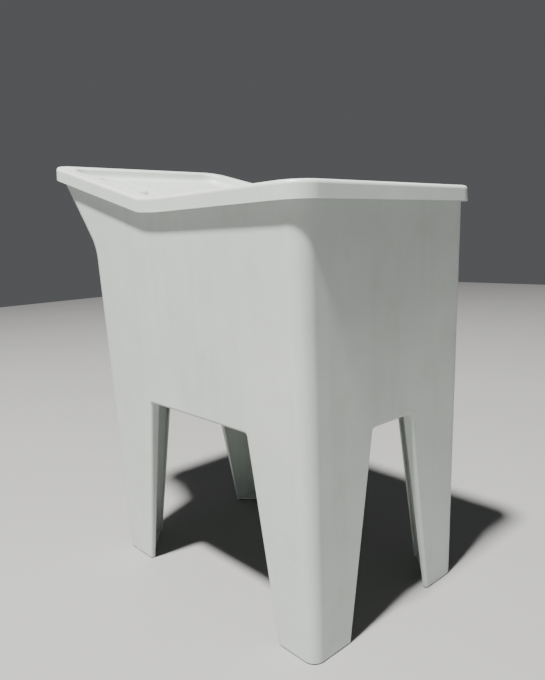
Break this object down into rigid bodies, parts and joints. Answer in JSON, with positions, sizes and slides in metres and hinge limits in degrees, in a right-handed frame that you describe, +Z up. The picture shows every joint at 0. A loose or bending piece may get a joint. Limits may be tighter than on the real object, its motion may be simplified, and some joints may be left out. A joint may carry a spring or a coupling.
{
  "type": "free-standing resin wash tub",
  "caption": "Moulded resin wash tub on a four-legged skirt, with a raised ridged washboard, soap dish, waste, plug and overflow.",
  "frame": {"origin": "on the floor, under the middle of the rim's outline", "axes": "+Z up, -Y the washboard end where the user stands, +Y the level end that goes against a wall, +X the user's right"},
  "size_m": [0.517, 0.868, 0.957],
  "materials": {
    "resin": "satin moulded polypropylene, faintly green-grey white",
    "foot_rubber": "matt black",
    "stainless": "brushed",
    "seal_rubber": "matt dark grey",
    "fitting_plastic": "satin white",
    "plug_rubber": "satin black"
  },
  "bodies": {
    "tub": {"leg_stand": "resin", "tub_basin": "resin", "foot_pad_front_left": "foot_rubber", "foot_pad_front_right": "foot_rubber", "foot_pad_rear_left": "foot_rubber", "foot_pad_rear_right": "foot_rubber", "tub_screw_front_left": "stainless", "tub_screw_front_right": "stainless", "tub_screw_rear_left": "stainless", "tub_screw_rear_right": "stainless", "waste_flange": "stainless", "waste_flange_gasket": "seal_rubber", "waste_body_gasket": "seal_rubber", "waste_body": "fitting_plastic", "waste_screw": "stainless", "overflow_grille": "stainless", "overflow_screw": "stainless", "overflow_gasket": "seal_rubber", "overflow_elbow": "fitting_plastic", "overflow_pipe": "fitting_plastic", "overflow_nut_upper": "fitting_plastic", "overflow_nut_lower": "fitting_plastic"},
    "plug": {"drain_plug": "plug_rubber"},
    "ring": {"plug_ring": "stainless"}
  },
  "joints": [
    {"name": "plug_lift", "type": "slide", "parent": "tub", "child": "plug", "axis": [0, 0, 1], "range_m": [0, 0.35]},
    {"name": "ring_flip", "type": "hinge", "parent": "plug", "child": "ring", "pos_m": [0, 0.15, 0.5303], "axis": [1, 0, 0], "range_deg": [-200, 0]}
  ]
}
